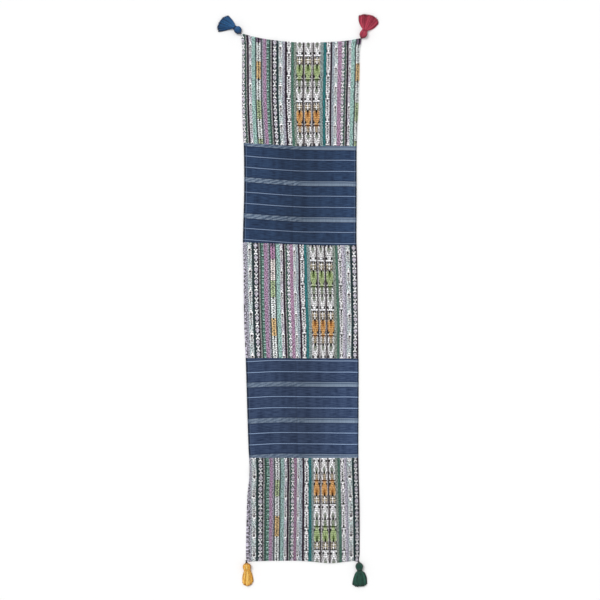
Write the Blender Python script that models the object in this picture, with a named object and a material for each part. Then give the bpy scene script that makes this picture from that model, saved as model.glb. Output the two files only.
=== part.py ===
# Handwoven table runner of five sewn panels, with a yarn tassel at each corner, lying flat.
# The frame: +X across the runner, +Y along it, +Z up, with the origin under its middle.

from collections import namedtuple
import math
import random

import bmesh
import bpy

# Driving dimensions, in metres
CLOTH_THICKNESS = 0.0019
HEM_THICKNESS = 0.0026
HEM_WIDTH = 0.009
EDGE_THICKNESS = 0.0016
SEAM_THICKNESS = 0.0014
SEAM_WIDTH = 0.005
EDGE_ROUNDING = 0.003
GAP = 0.0003
CLOTH_CELLS_ACROSS = 10
CLOTH_CELLS_ALONG = 9

# Side edges of the cloth: height up the runner, then where the left and the right edge lie
SideStation = namedtuple("SideStation", "along left right")
SIDES = [
    SideStation(-0.749, -0.1592, 0.1696),
    SideStation(-0.659, -0.1578, 0.1694),
    SideStation(-0.561, -0.1546, 0.1685),
    SideStation(-0.491, -0.1485, 0.1670),
    SideStation(-0.422, -0.1529, 0.1656),
    SideStation(-0.318, -0.1566, 0.1659),
    SideStation(-0.179, -0.1604, 0.1662),
    SideStation(-0.041, -0.1644, 0.1644),
    SideStation(0.116, -0.1659, 0.1627),
    SideStation(0.179, -0.1691, 0.1598),
    SideStation(0.324, -0.1662, 0.1601),
    SideStation(0.445, -0.1668, 0.1604),
    SideStation(0.497, -0.1685, 0.1633),
    SideStation(0.584, -0.1702, 0.1670),
    SideStation(0.682, -0.1699, 0.1696),
    SideStation(0.769, -0.1694, 0.1702),
]

# Lines across the cloth: how far up the runner each lies at five even places from left to right
CrossLine = namedtuple("CrossLine", "left left_quarter middle right_quarter right")
TOP_EDGE = CrossLine(0.7728, 0.7572, 0.7497, 0.7514, 0.7589)
SEAM_1 = CrossLine(0.4595, 0.4549, 0.4500, 0.4511, 0.4503)
SEAM_2 = CrossLine(0.1728, 0.1694, 0.1656, 0.1633, 0.1644)
SEAM_3 = CrossLine(-0.1624, -0.1618, -0.1627, -0.1627, -0.1639)
SEAM_4 = CrossLine(-0.4503, -0.4503, -0.4508, -0.4508, -0.4497)
BOTTOM_EDGE = CrossLine(-0.7497, -0.7476, -0.7482, -0.7540, -0.7456)

# Corners drawn out by their tassels: where, how far across and along, and how much cloth follows
CornerPull = namedtuple("CornerPull", "x y across along reach")
CORNER_PULLS = [
    CornerPull(-0.1694, 0.7728, -0.0040, 0.0035, 0.034),
    CornerPull(0.1702, 0.7589, 0.0045, 0.0030, 0.032),
    CornerPull(-0.1592, -0.7497, 0.0015, -0.0008, 0.025),
    CornerPull(0.1696, -0.7456, -0.0025, -0.0050, 0.020),
]

# Soft ridges that lift the cloth: middle, heading from +X in degrees, half length and width, height
Ridge = namedtuple("Ridge", "x y heading half_length half_width height")
RIDGES = [
    Ridge(-0.002, 0.470, 90.0, 0.300, 0.016, 0.0009),
    Ridge(-0.004, -0.460, 90.0, 0.290, 0.018, 0.0010),
    Ridge(-0.140, -0.492, -6.0, 0.070, 0.024, 0.0032),
    Ridge(0.150, 0.300, 88.0, 0.130, 0.032, 0.0020),
    Ridge(-0.160, 0.130, 80.0, 0.090, 0.030, 0.0022),
    Ridge(-0.070, 0.735, 70.0, 0.080, 0.034, 0.0022),
    Ridge(0.083, -0.740, 95.0, 0.080, 0.036, 0.0024),
    Ridge(0.165, -0.610, 90.0, 0.100, 0.028, 0.0018),
    Ridge(-0.165, 0.765, 128.0, 0.045, 0.030, 0.0016),
    Ridge(0.168, 0.752, 62.0, 0.045, 0.030, 0.0016),
]

# Panels of the runner: node name, cloth, and the two lines that bound it
Panel = namedtuple("Panel", "name cloth above below")
PANELS = [
    Panel("panel_top", "striped_cloth", TOP_EDGE, SEAM_1),
    Panel("panel_indigo_upper", "indigo_cloth", SEAM_1, SEAM_2),
    Panel("panel_middle", "striped_cloth", SEAM_2, SEAM_3),
    Panel("panel_indigo_lower", "indigo_cloth", SEAM_3, SEAM_4),
    Panel("panel_bottom", "striped_cloth", SEAM_4, BOTTOM_EDGE),
]
OUTER_EDGES = (TOP_EDGE, BOTTOM_EDGE)

# Tassels: node, yarn, cloth corner, axis heading, how far the head sits aside of the axis, its half width,
# then the skirt: headings and lengths of its two borders, length of its middle, and its swell at the neck
Corner = namedtuple("Corner", "above below across down")
Tassel = namedtuple(
    "Tassel",
    "name yarn corner heading head_aside head_half low_heading high_heading low_reach middle_reach high_reach swell",
)
TASSELS = [
    Tassel("tassel_blue", "blue_yarn", Corner(TOP_EDGE, SEAM_1, 0.0, 0.0), 148.0, -0.0040, 0.0112,
           117.0, 185.0, 0.0425, 0.0405, 0.0445, 0.0200),
    Tassel("tassel_red", "red_yarn", Corner(TOP_EDGE, SEAM_1, 1.0, 0.0), 69.0, -0.0026, 0.0112,
           27.0, 114.0, 0.0450, 0.0440, 0.0445, 0.0190),
    Tassel("tassel_gold", "gold_yarn", Corner(SEAM_4, BOTTOM_EDGE, 0.0, 1.0), 270.4, 0.0000, 0.0119,
           252.0, 291.0, 0.0420, 0.0405, 0.0425, 0.0150),
    Tassel("tassel_green", "green_yarn", Corner(SEAM_4, BOTTOM_EDGE, 1.0, 1.0), 273.0, 0.0010, 0.0114,
           245.0, 297.0, 0.0460, 0.0415, 0.0460, 0.0165),
]

# The head and its bound neck, from the cloth's corner out: share of the way, share of the head's half width,
# half height, and height of the middle above the surface
HeadStation = namedtuple("HeadStation", "share width half_height middle")
HEAD_STATIONS = [
    HeadStation(0.00, 0.14, 0.0008, 0.0022),
    HeadStation(0.09, 0.18, 0.0012, 0.0030),
    HeadStation(0.13, 0.50, 0.0042, 0.0066),
    HeadStation(0.24, 0.84, 0.0074, 0.0082),
    HeadStation(0.42, 1.00, 0.0090, 0.0086),
    HeadStation(0.60, 0.97, 0.0088, 0.0084),
    HeadStation(0.78, 0.76, 0.0072, 0.0072),
    HeadStation(0.88, 0.60, 0.0056, 0.0060),
    HeadStation(0.92, 0.68, 0.0062, 0.0062),
    HeadStation(1.00, 0.66, 0.0060, 0.0060),
]
NECK_REACH = 0.0275
STRAND_COLUMNS = 12
STRAND_LAYERS = 4
STRAND_STATIONS = (0.25, 0.55, 1.0)
STRAND_SETTLED = 0.55
STRAND_ROOT_MARGIN = 0.10
STRAND_TIP_MARGIN = 0.20
STRAND_UNEVENNESS = 0.07
STRAND_LEAN = 0.16
SKIRT_TIP_HEIGHT = 0.0068
SKIRT_TIP_CROWN = 0.45
SKIRT_SHOULDER = 0.14

COLOURS = {
    "striped_cloth": (0.42, 0.45, 0.47, 0.9),
    "indigo_cloth": (0.035, 0.058, 0.125, 0.85),
    "blue_yarn": (0.014, 0.090, 0.235, 0.85),
    "red_yarn": (0.480, 0.036, 0.078, 0.85),
    "gold_yarn": (0.900, 0.420, 0.030, 0.85),
    "green_yarn": (0.013, 0.112, 0.072, 0.85),
}


def clear_scene():
    for thing in list(bpy.data.objects):
        bpy.data.objects.remove(thing, do_unlink=True)


def make_material(name):
    red, green, blue, roughness = COLOURS[name]
    material = bpy.data.materials.new(name)
    material.use_nodes = True
    shader = material.node_tree.nodes["Principled BSDF"]
    shader.inputs["Base Color"].default_value = (red, green, blue, 1.0)
    shader.inputs["Roughness"].default_value = roughness
    shader.inputs["Metallic"].default_value = 0.0
    return material


def mix(a, b, share):
    return a + (b - a) * share


def smooth_curve(places, values, place):
    """Value of a smooth curve through the given values, held level past both ends."""
    if place <= places[0]:
        return values[0]
    if place >= places[-1]:
        return values[-1]
    i = max(k for k in range(len(places) - 1) if places[k] <= place)
    slopes = []
    for k in (i, i + 1):
        low = max(k - 1, 0)
        high = min(k + 1, len(places) - 1)
        slopes.append((values[high] - values[low]) / (places[high] - places[low]))
    span = places[i + 1] - places[i]
    t = (place - places[i]) / span
    rise = 3 * t ** 2 - 2 * t ** 3
    bend_in = (t ** 3 - 2 * t ** 2 + t) * span * slopes[0]
    bend_out = (t ** 3 - t ** 2) * span * slopes[1]
    return mix(values[i], values[i + 1], rise) + bend_in + bend_out


def side_edges(along):
    places = [side.along for side in SIDES]
    left = smooth_curve(places, [side.left for side in SIDES], along)
    right = smooth_curve(places, [side.right for side in SIDES], along)
    return left, right


def line_height(line, across):
    return smooth_curve((0.0, 0.25, 0.5, 0.75, 1.0), line, across)


def soft_bell(distance):
    return max(0.0, 1.0 - distance ** 2) ** 2


def cloth_point(above, below, across, down):
    """Place in plan, for a share of the way across the cloth and down its panel."""
    y = mix(line_height(above, across), line_height(below, across), down)
    left, right = side_edges(y)
    x = mix(left, right, across)
    for pull in CORNER_PULLS:
        strength = soft_bell(math.hypot(x - pull.x, y - pull.y) / pull.reach)
        x += pull.across * strength
        y += pull.along * strength
    return x, y


def cloth_lift(x, y):
    """Height of the cloth's underside above the surface it lies on."""
    lift = 0.0
    for ridge in RIDGES:
        turn = math.radians(ridge.heading)
        along = (x - ridge.x) * math.cos(turn) + (y - ridge.y) * math.sin(turn)
        aside = (y - ridge.y) * math.cos(turn) - (x - ridge.x) * math.sin(turn)
        lift += ridge.height * soft_bell(along / ridge.half_length) * soft_bell(aside / ridge.half_width)
    return lift


def border_thickness(distance, edge, border, width):
    """Thickness near a border: thin at its very edge, then thick as a hem, then plain cloth."""
    if distance < EDGE_ROUNDING:
        return mix(edge, border, distance / EDGE_ROUNDING)
    if distance < width + EDGE_ROUNDING:
        return mix(border, CLOTH_THICKNESS, max(0.0, distance - width) / EDGE_ROUNDING)
    return CLOTH_THICKNESS


def steps_with_borders(length, first_width, last_width, cells):
    """Shares of a length: at both borders' edge, rounding and width, and evenly between them."""
    start = [0.0, EDGE_ROUNDING, first_width, first_width + EDGE_ROUNDING]
    end = [length - step for step in reversed([0.0, EDGE_ROUNDING, last_width, last_width + EDGE_ROUNDING])]
    inner = [mix(start[-1], end[0], k / cells) for k in range(1, cells)]
    return [step / length for step in start + inner + end]


def build_panel(panel):
    panel_length = panel.above.middle - panel.below.middle
    edges_here = [side_edges(line.middle) for line in (panel.above, panel.below)]
    panel_width = sum(right - left for left, right in edges_here) / 2
    first_is_hem = panel.above in OUTER_EDGES
    last_is_hem = panel.below in OUTER_EDGES
    first_width = HEM_WIDTH if first_is_hem else SEAM_WIDTH
    last_width = HEM_WIDTH if last_is_hem else SEAM_WIDTH
    columns = steps_with_borders(panel_width, HEM_WIDTH, HEM_WIDTH, CLOTH_CELLS_ACROSS)
    rows = steps_with_borders(panel_length, first_width, last_width, CLOTH_CELLS_ALONG)
    inset = GAP / 2 / panel_length

    mesh = bmesh.new()
    top = []
    bottom = []
    for row in rows:
        down = mix(0.0 if first_is_hem else inset, 1.0 if last_is_hem else 1.0 - inset, row)
        top_row = []
        bottom_row = []
        for across in columns:
            x, y = cloth_point(panel.above, panel.below, across, down)
            side = min(across, 1.0 - across) * panel_width
            hem = border_thickness(side, EDGE_THICKNESS, HEM_THICKNESS, HEM_WIDTH)
            if row < 0.5:
                reach, is_hem = row * panel_length, first_is_hem
            else:
                reach, is_hem = (1.0 - row) * panel_length, last_is_hem
            if is_hem:
                end = border_thickness(reach, EDGE_THICKNESS, HEM_THICKNESS, HEM_WIDTH)
            else:
                end = border_thickness(reach, SEAM_THICKNESS, CLOTH_THICKNESS, SEAM_WIDTH)
            edge = min(hem, end)
            thickness = edge if edge < CLOTH_THICKNESS else max(hem, end)
            lift = cloth_lift(x, y)
            top_row.append(mesh.verts.new((x, y, lift + thickness)))
            bottom_row.append(mesh.verts.new((x, y, lift)))
        top.append(top_row)
        bottom.append(bottom_row)

    last_row = len(rows) - 1
    last_column = len(columns) - 1
    for i in range(last_row):
        for j in range(last_column):
            mesh.faces.new((top[i][j], top[i + 1][j], top[i + 1][j + 1], top[i][j + 1]))
            mesh.faces.new((bottom[i][j], bottom[i][j + 1], bottom[i + 1][j + 1], bottom[i + 1][j]))
        mesh.faces.new((top[i][0], bottom[i][0], bottom[i + 1][0], top[i + 1][0]))
        mesh.faces.new((top[i][last_column], top[i + 1][last_column],
                        bottom[i + 1][last_column], bottom[i][last_column]))
    for j in range(last_column):
        mesh.faces.new((top[0][j], top[0][j + 1], bottom[0][j + 1], bottom[0][j]))
        mesh.faces.new((top[last_row][j], bottom[last_row][j],
                        bottom[last_row][j + 1], top[last_row][j + 1]))
    add_object(panel.name, mesh, panel.cloth)


def direction(heading):
    return math.cos(math.radians(heading)), math.sin(math.radians(heading))


def round_section(a, b):
    """A square section's point moved onto a round one; a runs across and b up, both -1 to 1."""
    return a * math.sqrt(1.0 - b ** 2 / 2), b * math.sqrt(1.0 - a ** 2 / 2)


def ring_places():
    """The places round the rim of the strands' grid, as columns and layers, once round."""
    rim = [(i, 0) for i in range(STRAND_COLUMNS)]
    rim += [(STRAND_COLUMNS, j) for j in range(STRAND_LAYERS)]
    rim += [(i, STRAND_LAYERS) for i in range(STRAND_COLUMNS, 0, -1)]
    rim += [(0, j) for j in range(STRAND_LAYERS, 0, -1)]
    return rim


def grid_share(i, j):
    return 2.0 * i / STRAND_COLUMNS - 1.0, 2.0 * j / STRAND_LAYERS - 1.0


def skirt_point(tassel, neck, a, b, t, reach_share):
    """A point of the skirt: a across it, b up through it, t from its root to its tips."""
    root = HEAD_STATIONS[-1]
    round_a, round_b = round_section(a, b)
    root_half = root.width * tassel.head_half
    middle_heading = mix(tassel.low_heading, tassel.high_heading, 0.5)
    forward = direction(middle_heading)
    aside = direction(middle_heading + 90.0)
    ends = mix(tassel.low_reach, tassel.high_reach, (a + 1.0) / 2)
    reach = mix(tassel.middle_reach, ends, a ** 2) * reach_share
    tip = direction(mix(tassel.low_heading, tassel.high_heading, (a + 1.0) / 2))
    start_side = direction(tassel.heading + 90.0)
    keep, bend, go = (1.0 - t) ** 2, 2.0 * t * (1.0 - t), t ** 2
    place = []
    for k in range(2):
        start = neck[k] + start_side[k] * root_half * round_a
        shoulder = neck[k] + forward[k] * SKIRT_SHOULDER * reach + aside[k] * tassel.swell * a
        end = neck[k] + tip[k] * reach
        place.append(keep * start + bend * shoulder + go * end)
    settle = min(1.0, t / STRAND_SETTLED)
    settle = 1.0 - (1.0 - settle) ** 2
    high = root.middle + root.half_height * round_b
    low = SKIRT_TIP_HEIGHT * (1.0 - SKIRT_TIP_CROWN * a ** 2) * (b + 1.0) / 2
    return place[0], place[1], mix(high, low, settle)


def build_tassel(tassel, seed):
    draw = random.Random(seed)
    forward = direction(tassel.heading)
    aside = direction(tassel.heading + 90.0)
    start = cloth_point(*tassel.corner)
    rim = ring_places()
    mesh = bmesh.new()

    rings = []
    for station in HEAD_STATIONS:
        along = mix(GAP, NECK_REACH, station.share)
        bow = tassel.head_aside * 4.0 * station.share * (1.0 - station.share)
        ring = []
        for i, j in rim:
            a, b = round_section(*grid_share(i, j))
            side = bow + a * station.width * tassel.head_half
            x = start[0] + forward[0] * along + aside[0] * side
            y = start[1] + forward[1] * along + aside[1] * side
            ring.append(mesh.verts.new((x, y, max(0.0, station.middle + b * station.half_height))))
        rings.append(ring)
    count = len(rim)
    for near, far in zip(rings, rings[1:]):
        for k in range(count):
            n = (k + 1) % count
            mesh.faces.new((near[k], near[n], far[n], far[k]))
    first = HEAD_STATIONS[0]
    centre = mesh.verts.new((start[0] + forward[0] * GAP, start[1] + forward[1] * GAP, first.middle))
    for k in range(count):
        mesh.faces.new((centre, rings[0][(k + 1) % count], rings[0][k]))

    neck = (start[0] + forward[0] * NECK_REACH, start[1] + forward[1] * NECK_REACH)
    grid = {place: vert for place, vert in zip(rim, rings[-1])}
    for i in range(1, STRAND_COLUMNS):
        for j in range(1, STRAND_LAYERS):
            grid[i, j] = mesh.verts.new(skirt_point(tassel, neck, *grid_share(i, j), 0.0, 1.0))
    for i in range(STRAND_COLUMNS):
        for j in range(STRAND_LAYERS):
            build_strand(mesh, tassel, neck, grid, i, j, draw)
    add_object(tassel.name, mesh, tassel.yarn)


def build_strand(mesh, tassel, neck, grid, i, j, draw):
    """One four-sided strand, grown from its own cell of the neck's end."""
    cell = [(i, j), (i + 1, j), (i + 1, j + 1), (i, j + 1)]
    reach_share = 1.0 + draw.uniform(-STRAND_UNEVENNESS, STRAND_UNEVENNESS)
    lean = draw.uniform(-STRAND_LEAN, STRAND_LEAN)
    loop = [grid[corner] for corner in cell]
    for t in (0.0,) + STRAND_STATIONS:
        margin = mix(STRAND_ROOT_MARGIN, STRAND_TIP_MARGIN, t)
        low = 0.0 if j == 0 and t >= STRAND_SETTLED else margin
        ring = []
        for column, layer in cell:
            side = margin if column == i else -margin
            rise = low if layer == j else -margin
            a, b = grid_share(column + side + lean * t, layer + rise)
            ring.append(mesh.verts.new(skirt_point(tassel, neck, a, b, t, reach_share)))
        for k in range(4):
            n = (k + 1) % 4
            mesh.faces.new((loop[k], loop[n], ring[n], ring[k]))
        loop = ring
    mesh.faces.new(loop)


def add_object(name, mesh, material_name):
    bmesh.ops.recalc_face_normals(mesh, faces=mesh.faces)
    data = bpy.data.meshes.new(name)
    mesh.to_mesh(data)
    mesh.free()
    data.materials.append(bpy.data.materials.get(material_name) or make_material(material_name))
    part = bpy.data.objects.new(name, data)
    bpy.context.scene.collection.objects.link(part)


def build():
    clear_scene()
    for panel in PANELS:
        build_panel(panel)
    for number, tassel in enumerate(TASSELS):
        build_tassel(tassel, seed=20 + number)


build()
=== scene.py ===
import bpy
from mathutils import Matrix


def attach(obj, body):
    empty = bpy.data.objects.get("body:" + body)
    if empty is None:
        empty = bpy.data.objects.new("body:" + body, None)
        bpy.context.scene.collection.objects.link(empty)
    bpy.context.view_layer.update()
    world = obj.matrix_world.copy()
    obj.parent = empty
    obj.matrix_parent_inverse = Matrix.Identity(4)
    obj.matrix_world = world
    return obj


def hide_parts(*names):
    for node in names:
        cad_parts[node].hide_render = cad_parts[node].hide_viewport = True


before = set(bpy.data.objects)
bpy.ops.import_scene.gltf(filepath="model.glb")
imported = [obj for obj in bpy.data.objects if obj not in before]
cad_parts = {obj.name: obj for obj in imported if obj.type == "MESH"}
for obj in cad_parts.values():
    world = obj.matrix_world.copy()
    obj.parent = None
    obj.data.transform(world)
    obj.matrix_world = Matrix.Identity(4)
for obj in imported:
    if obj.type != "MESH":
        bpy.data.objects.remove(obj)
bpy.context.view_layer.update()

import math
import random
from collections import namedtuple

import bmesh
import bpy
from mathutils import Vector, noise

# A handwoven table runner: five panels sewn end to end, with a yarn tassel at each corner.
# Metres throughout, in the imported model's frame: +X across the runner, +Y along it, +Z up.
print("runner: frame loaded, nodes", len(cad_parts))


# Small sums used all over

def mix(a, b, share):
    return a + (b - a) * share


def softBell(distance):
    return max(0.0, 1.0 - distance ** 2) ** 2


def straightLine(table, place):  # value between the rows of a two-column table, which may run either way
    if place <= table[0][0]:
        return table[0][1]
    for (low, first), (high, second) in zip(table, table[1:]):
        if place <= high:
            return mix(first, second, (place - low) / (high - low))
    return table[-1][1]


def smoothCurve(places, values, place):  # smooth curve through the values, level past both ends
    if place <= places[0]:
        return values[0]
    if place >= places[-1]:
        return values[-1]
    i = max(k for k in range(len(places) - 1) if places[k] <= place)
    slopes = []
    for k in (i, i + 1):
        low, high = max(k - 1, 0), min(k + 1, len(places) - 1)
        slopes.append((values[high] - values[low]) / (places[high] - places[low]))
    span = places[i + 1] - places[i]
    t = (place - places[i]) / span
    bend = (t ** 3 - 2 * t ** 2 + t) * slopes[0] + (t ** 3 - t ** 2) * slopes[1]
    return mix(values[i], values[i + 1], 3 * t ** 2 - 2 * t ** 3) + bend * span


def direction(heading):
    return math.cos(math.radians(heading)), math.sin(math.radians(heading))


# Node trees, for materials and for geometry

def operator(operation, swapped=False):  # a sum on a Wire, as a Math node
    def addNode(wire, *others):
        values = (*others, wire) if swapped else (wire, *others)
        return wire.nodes.sum(operation, *values)
    return addNode


class Wire:  # one output of a node; sums on it add Math nodes
    def __init__(self, nodes, socket):
        self.nodes, self.socket = nodes, socket

    def output(self, which):  # another output of the same node
        return Wire(self.nodes, self.socket.node.outputs[which])

    def held(self):  # kept between 0 and 1
        return self.nodes.sum("MINIMUM", self.nodes.sum("MAXIMUM", self, 0.0), 1.0)

    __add__ = __radd__ = operator("ADD")
    __mul__ = __rmul__ = operator("MULTIPLY")
    __sub__ = operator("SUBTRACT")
    __rsub__ = operator("SUBTRACT", swapped=True)
    __truediv__ = operator("DIVIDE")
    __mod__ = operator("FLOORED_MODULO")
    __lt__ = operator("LESS_THAN")
    __gt__ = operator("GREATER_THAN")
    __abs__ = operator("ABSOLUTE")
    floor = operator("FLOOR")
    sine = operator("SINE")
    least = operator("MINIMUM")


class Nodes:  # a node tree being built; add() makes any kind of node
    def __init__(self, tree):
        self.tree = tree

    def add(self, kind, settings=None, values=None, output=0):
        made = self.tree.nodes.new(kind)
        for name, setting in (settings or {}).items():
            if name == "stops":
                placeStops(made.color_ramp, setting)
            elif name == "interpolation":
                made.color_ramp.interpolation = setting
            else:
                setattr(made, name, setting)
        for name, value in (values or {}).items():
            if isinstance(value, Wire):
                self.tree.links.new(value.socket, made.inputs[name])
            else:
                made.inputs[name].default_value = value
        return Wire(self, made.outputs[output]) if made.outputs else made

    def sum(self, operation, *values):
        return self.add("ShaderNodeMath", {"operation": operation}, dict(enumerate(values)))


def placeStops(ramp, stops):  # stops are (place, colour with alpha), at most 32 of them
    while len(ramp.elements) < len(stops):
        ramp.elements.new(1.0)
    for element, (place, colour) in zip(ramp.elements, stops):
        element.position = place
        element.color = colour


def rampOf(nodes, place, stops, interpolation="CONSTANT"):
    return nodes.add("ShaderNodeValToRGB", {"interpolation": interpolation, "stops": stops}, {0: place})


def longRamp(nodes, place, stops, end, most=31):  # stepped colours, in as many ramps as the stops need
    colour = alpha = None
    for first in range(0, len(stops), most):
        begin = stops[first][0]
        finish = stops[first + most][0] if first + most < len(stops) else end
        some = [((at - begin) / (finish - begin), value) for at, value in stops[first:first + most]]
        ramp = rampOf(nodes, (place - begin) / (finish - begin), some)
        if colour is None:
            colour, alpha = ramp, ramp.output(1)
        else:
            beyond = place > begin
            colour = blend(nodes, beyond, colour, ramp)
            alpha = blendValue(nodes, beyond, alpha, ramp.output(1))
    return colour, alpha


def blend(nodes, share, first, second):
    return nodes.add("ShaderNodeMix", {"data_type": "RGBA"}, {0: share, 6: first, 7: second}, 2)


def blendValue(nodes, share, first, second):
    return nodes.add("ShaderNodeMix", {"data_type": "FLOAT"}, {0: share, 2: first, 3: second})


def scaled(nodes, vector, factor):  # a colour or a place
    return nodes.add("ShaderNodeVectorMath", {"operation": "SCALE"}, {0: vector, "Scale": factor})


def noiseOf(nodes, place, detail, dimensions):  # soft noise, from about -0.5 to 0.5
    settings = {"noise_dimensions": dimensions}
    values = {"Vector": place, "Scale": 1.0, "Detail": detail}
    return nodes.add("ShaderNodeTexNoise", settings, values) - 0.5


def patches(nodes, across, along, toTheMetre, detail=1.0):  # flat noise
    place = nodes.add("ShaderNodeCombineXYZ", {}, {0: across * toTheMetre[0], 1: along * toTheMetre[1]})
    return noiseOf(nodes, place, detail, "2D")


def dye(red, green, blue, tone=1.0):  # a colour as the eye reads it, 0 to 255, made linear
    return [tone * (c / 12.92 if c <= 0.04045 else ((c + 0.055) / 1.055) ** 2.4)
            for c in (red / 255, green / 255, blue / 255)] + [1.0]


def startMaterial(name, sheen, sheenTint):
    material = bpy.data.materials.new(name)
    material.use_nodes = True
    shader = material.node_tree.nodes["Principled BSDF"]
    shader.inputs["Sheen Weight"].default_value = sheen
    shader.inputs["Sheen Roughness"].default_value = 0.6
    shader.inputs["Sheen Tint"].default_value = sheenTint
    shader.inputs["Specular IOR Level"].default_value = 0.25
    return material, Nodes(material.node_tree), shader.inputs


def finishMaterial(nodes, shader, colour, roughness, height, bumpStrength, bumpDepth):
    bump = nodes.add("ShaderNodeBump", {}, {
        "Strength": bumpStrength, "Distance": bumpDepth, "Height": height})
    for name, wire in (("Base Color", colour), ("Roughness", roughness), ("Normal", bump)):
        nodes.tree.links.new(wire.socket, shader[name])


# The lie of the cloth: that of the solids, but for 2 mm at most along the sides of the indigo panels

Side = namedtuple("Side", "along left right")  # how far out both side edges are, at a height up the runner
Line = namedtuple("Line", "left leftQuarter middle rightQuarter right")  # across, at five even places
Pull = namedtuple("Pull", "x y across along reach")  # a corner drawn out by its tassel
Fold = namedtuple("Fold", "x y heading halfLength halfWidth height")  # a soft ridge

runner = {
    "sides": [
        Side(-0.749, -0.1592, 0.1696), Side(-0.659, -0.1578, 0.1694), Side(-0.561, -0.1546, 0.1685),
        Side(-0.491, -0.1485, 0.1670), Side(-0.422, -0.1515, 0.1660), Side(-0.318, -0.1551, 0.1664),
        Side(-0.179, -0.1591, 0.1667), Side(-0.041, -0.1644, 0.1644), Side(0.116, -0.1659, 0.1627),
        Side(0.179, -0.1677, 0.1606), Side(0.324, -0.1642, 0.1607), Side(0.445, -0.1651, 0.1610),
        Side(0.497, -0.1678, 0.1627), Side(0.584, -0.1702, 0.1670), Side(0.682, -0.1699, 0.1696),
        Side(0.769, -0.1694, 0.1702),
    ],
    "topEdge": Line(0.7728, 0.7572, 0.7497, 0.7514, 0.7589),
    "seam1": Line(0.4595, 0.4549, 0.4500, 0.4511, 0.4503),
    "seam2": Line(0.1728, 0.1694, 0.1656, 0.1633, 0.1644),
    "seam3": Line(-0.1624, -0.1618, -0.1627, -0.1627, -0.1639),
    "seam4": Line(-0.4503, -0.4503, -0.4508, -0.4508, -0.4497),
    "bottomEdge": Line(-0.7497, -0.7476, -0.7482, -0.7540, -0.7456),
    "pulls": [
        Pull(-0.1694, 0.7728, -0.0040, 0.0035, 0.034), Pull(0.1702, 0.7589, 0.0045, 0.0030, 0.032),
        Pull(-0.1592, -0.7497, 0.0015, -0.0008, 0.025), Pull(0.1696, -0.7456, -0.0025, -0.0050, 0.020),
    ],
    "folds": [
        Fold(-0.002, 0.470, 90, 0.300, 0.016, 0.0009), Fold(-0.004, -0.460, 90, 0.290, 0.018, 0.0010),
        Fold(-0.140, -0.492, -6, 0.070, 0.024, 0.0032), Fold(0.150, 0.300, 88, 0.130, 0.032, 0.0020),
        Fold(-0.160, 0.130, 80, 0.090, 0.030, 0.0022), Fold(-0.070, 0.735, 70, 0.080, 0.034, 0.0022),
        Fold(0.083, -0.740, 95, 0.080, 0.036, 0.0024), Fold(0.165, -0.610, 90, 0.100, 0.028, 0.0018),
        Fold(-0.165, 0.765, 128, 0.045, 0.030, 0.0016), Fold(0.168, 0.752, 62, 0.045, 0.030, 0.0016),
    ],
    "clothThickness": 0.0017,
    "hemThickness": 0.0025,
    "hemWidth": 0.009,
    "hemStep": 0.0014,      # over which a hem goes down to the plain cloth
    "foldRadius": 0.0016,   # of a hem's rounded edge
    "foldLeast": 0.10,      # share of the thickness left at its rim
    "seamRadius": 0.0032,   # over which the cloth rolls down into a seam
    "seamDepth": 0.55,      # share of the thickness left in the seam
    "seamGap": 0.00004,
    "cell": 0.0027,         # of the mesh, finer near the edges
    "edgeSteps": [0.0, 0.0003, 0.0009, 0.0018, 0.0032],
    "hemSteps": [-0.0022, -0.0010, 0.0, 0.0014],
    "seamStep": 0.0055,
    "waviness": 0.00035,    # how high the cloth lies off the table here and there
    "waves": (17, 13),      # of it to the metre, each way
    "flatRim": 0.02,        # along the sides, where it goes down to nothing
    "pucker": 0.00030,      # of the cloth by its seams and hems
    "puckers": 120,
    "puckerReach": 0.006,
    "riseFade": 0.004,      # over which the figures' rise begins at a panel's ends
    "takeUp": 1.012,        # of the flat cloth by its weave and its low folds
}


def lineHeight(line, across):
    return smoothCurve((0.0, 0.25, 0.5, 0.75, 1.0), line, across)


def sideEdges(along):
    places = [side.along for side in runner["sides"]]
    return [smoothCurve(places, [side[k] for side in runner["sides"]], along) for k in (1, 2)]


def clothPoint(above, below, across, down):  # place in plan, by shares across the cloth and down its panel
    y = mix(lineHeight(above, across), lineHeight(below, across), down)
    x = mix(*sideEdges(y), across)
    for pull in runner["pulls"]:
        strength = softBell(math.hypot(x - pull.x, y - pull.y) / pull.reach)
        x += pull.across * strength
        y += pull.along * strength
    return x, y


def clothLift(x, y):
    lift = 0.0
    for fold in runner["folds"]:
        c, s = direction(fold.heading)
        along = (x - fold.x) * c + (y - fold.y) * s
        aside = (y - fold.y) * c - (x - fold.x) * s
        lift += fold.height * softBell(along / fold.halfLength) * softBell(aside / fold.halfWidth)
    return lift


# Striped cloth: its warp repeat, the charts of its figures, and the dyes

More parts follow.
